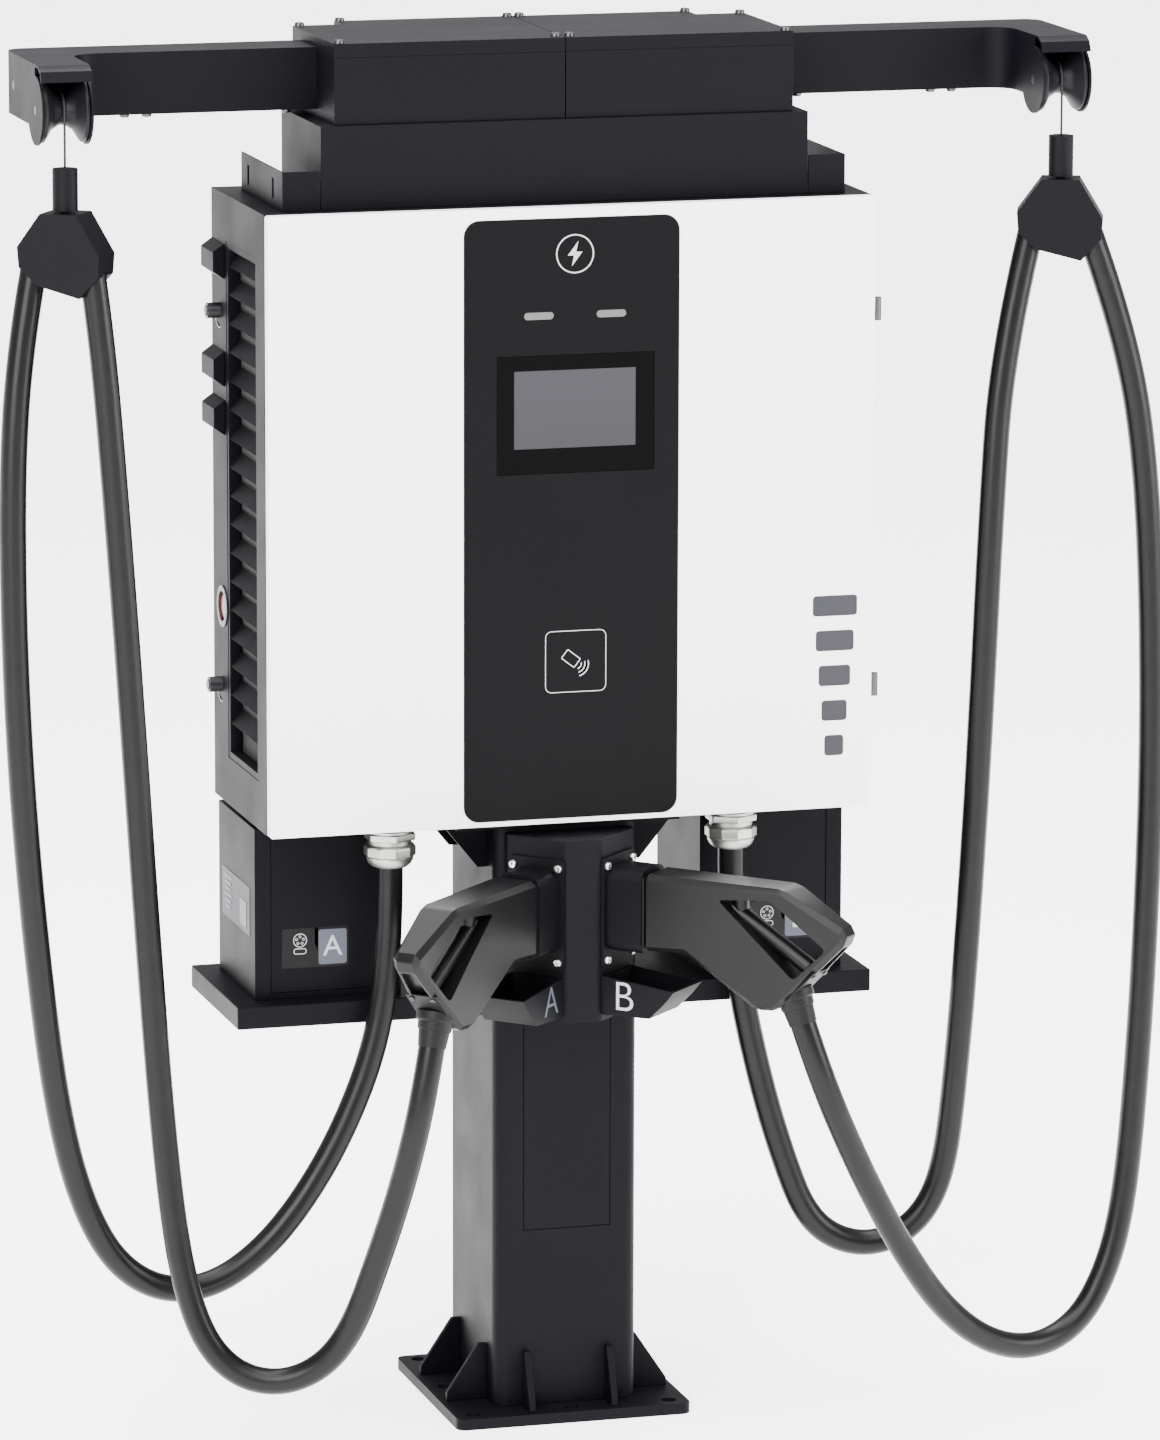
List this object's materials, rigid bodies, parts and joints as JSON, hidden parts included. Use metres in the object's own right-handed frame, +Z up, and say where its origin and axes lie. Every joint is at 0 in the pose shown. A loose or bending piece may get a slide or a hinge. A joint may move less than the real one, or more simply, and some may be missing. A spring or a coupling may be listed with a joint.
{
  "type": "ev charging post",
  "caption": "Post-mounted twin-outlet fast charger with hinged front door, holstered charging guns and sprung cable arms.",
  "frame": {"origin": "middle of the base plate's underside", "axes": "+X to the right seen from the front, +Y towards the back, +Z up"},
  "size_m": [1.4429, 0.5652, 1.6919],
  "materials": {
    "powder_dark": "fine-textured anthracite powder coat",
    "powder_white": "smooth white powder coat",
    "glass_black": "black glass front",
    "bezel": "matt black",
    "screen": "grey display, switched off",
    "lens": "grey translucent",
    "nickel": "nickel-plated brass",
    "cable_rubber": "satin black cable jacket",
    "wire": "bare wire rope",
    "gun_plastic": "fine-textured dark grey",
    "gun_dark": "black",
    "holder_plastic": "fine-textured black",
    "steel_screw": "bright zinc",
    "stop_red": "red",
    "lock_metal": "dark plated",
    "seal": "black foam seal",
    "zinc": "zinc-plated sheet",
    "module_case": "plain sheet",
    "electronics": "grey housing",
    "fan_plastic": "black",
    "pulley_plastic": "black, smooth"
  },
  "bodies": {
    "post": {"base_plate": "powder_dark", "base_gussets": "powder_dark", "post_tube": "powder_dark", "access_cover": "powder_dark", "shelf_tray": "powder_dark", "junction_boxes": "powder_dark", "junction_covers": "powder_dark", "terminal_blocks": "electronics", "head_bracket": "powder_dark", "cabinet_shell": "powder_dark", "side_covers": "powder_dark", "louvre_panels": "powder_dark", "vent_hoods": "powder_dark", "side_housings": "lock_metal", "door_gasket": "seal", "hinge_leaves": "lock_metal", "power_modules": "module_case", "control_unit": "electronics", "fan_frame": "fan_plastic", "top_box_lower": "powder_dark", "top_boxes_upper": "powder_dark", "top_lids": "powder_dark", "top_screws": "steel_screw", "ear_brackets": "powder_dark", "arms": "powder_dark", "pulley_axles": "zinc", "cable_glands": "nickel", "holster_body": "holder_plastic", "plug_holders": "holder_plastic", "holder_screws": "steel_screw", "cable_back_left": "cable_rubber", "cable_back_right": "cable_rubber", "cable_front_left": "cable_rubber", "cable_front_right": "cable_rubber", "rope_left": "wire", "rope_right": "wire"},
    "door": {"front_door": "powder_white", "display_glass": "glass_black", "screen_bezel": "bezel", "touch_screen": "screen", "card_reader": "electronics", "indicator_lenses": "lens", "hinge_knuckles": "lock_metal"},
    "upper_lock": {"lock_upper": "lock_metal"},
    "lower_lock": {"lock_lower": "lock_metal"},
    "stop_button": {"estop_button": "stop_red"},
    "fan": {"fan_rotor": "fan_plastic"},
    "pulley_left_body": {"pulley_left": "pulley_plastic"},
    "reel_left_body": {"reel_left": "pulley_plastic"},
    "clamp_left_body": {"clamp_left": "holder_plastic"},
    "gun_left": {"gun_shell_left": "gun_plastic", "gun_insert_left": "gun_dark", "gun_cap_left": "gun_dark"},
    "pulley_right_body": {"pulley_right": "pulley_plastic"},
    "reel_right_body": {"reel_right": "pulley_plastic"},
    "clamp_right_body": {"clamp_right": "holder_plastic"},
    "gun_right": {"gun_shell_right": "gun_plastic", "gun_insert_right": "gun_dark", "gun_cap_right": "gun_dark"}
  },
  "joints": [
    {"name": "door_hinge", "type": "hinge", "parent": "post", "child": "door", "pos_m": [0.381, -0.123, 0.9], "axis": [0, 0, 1], "range_deg": [0, 100]},
    {"name": "upper_lock_turn", "type": "hinge", "parent": "post", "child": "upper_lock", "pos_m": [-0.38, 0.114, 1.346], "axis": [1, 0, 0], "range_deg": [0, 90]},
    {"name": "lower_lock_turn", "type": "hinge", "parent": "post", "child": "lower_lock", "pos_m": [-0.38, 0.114, 0.887], "axis": [1, 0, 0], "range_deg": [0, 90]},
    {"name": "stop_press", "type": "slide", "parent": "post", "child": "stop_button", "axis": [1, 0, 0], "range_m": [0, 0.005], "stiffness_N_per_m": 400, "springref_m": -0.003},
    {"name": "fan_spin", "type": "hinge", "parent": "post", "child": "fan", "pos_m": [0.33, 0.002, 1.12], "axis": [1, 0, 0], "continuous": true},
    {"name": "clamp_left_pull", "type": "slide", "parent": "post", "child": "clamp_left_body", "axis": [0, 0, -1], "range_m": [0, 0.2], "stiffness_N_per_m": 30, "springref_m": -0.6, "deforming": ["cable_back_left", "rope_left"]},
    {"name": "pulley_left_turn", "type": "hinge", "parent": "post", "child": "pulley_left_body", "pos_m": [-0.61425, -0.0985, 1.621], "axis": [1, 0, 0], "range_deg": [0, 600]},
    {"name": "reel_left_turn", "type": "hinge", "parent": "post", "child": "reel_left_body", "pos_m": [-0.61425, 0.022, 1.637], "axis": [1, 0, 0], "range_deg": [0, 690]},
    {"name": "gun_left_draw", "type": "slide", "parent": "post", "child": "gun_left", "axis": [-0.7071, -0.7071, 0], "range_m": [0, 0.06], "deforming": ["cable_front_left"]},
    {"name": "clamp_right_pull", "type": "slide", "parent": "post", "child": "clamp_right_body", "axis": [0, 0, -1], "range_m": [0, 0.2], "stiffness_N_per_m": 30, "springref_m": -0.6, "deforming": ["cable_back_right", "rope_right"]},
    {"name": "pulley_right_turn", "type": "hinge", "parent": "post", "child": "pulley_right_body", "pos_m": [0.61425, -0.0985, 1.621], "axis": [1, 0, 0], "range_deg": [0, 600]},
    {"name": "reel_right_turn", "type": "hinge", "parent": "post", "child": "reel_right_body", "pos_m": [0.61425, 0.022, 1.637], "axis": [1, 0, 0], "range_deg": [0, 690]},
    {"name": "gun_right_draw", "type": "slide", "parent": "post", "child": "gun_right", "axis": [0.7071, -0.7071, 0], "range_m": [0, 0.06], "deforming": ["cable_front_right"]}
  ],
  "couplings": [
    {"joint": "pulley_left_turn", "follows": "clamp_left_pull", "rad_per_m": 51.282},
    {"joint": "reel_left_turn", "follows": "clamp_left_pull", "rad_per_m": 58.824},
    {"joint": "pulley_right_turn", "follows": "clamp_right_pull", "rad_per_m": 51.282},
    {"joint": "reel_right_turn", "follows": "clamp_right_pull", "rad_per_m": 58.824}
  ]
}
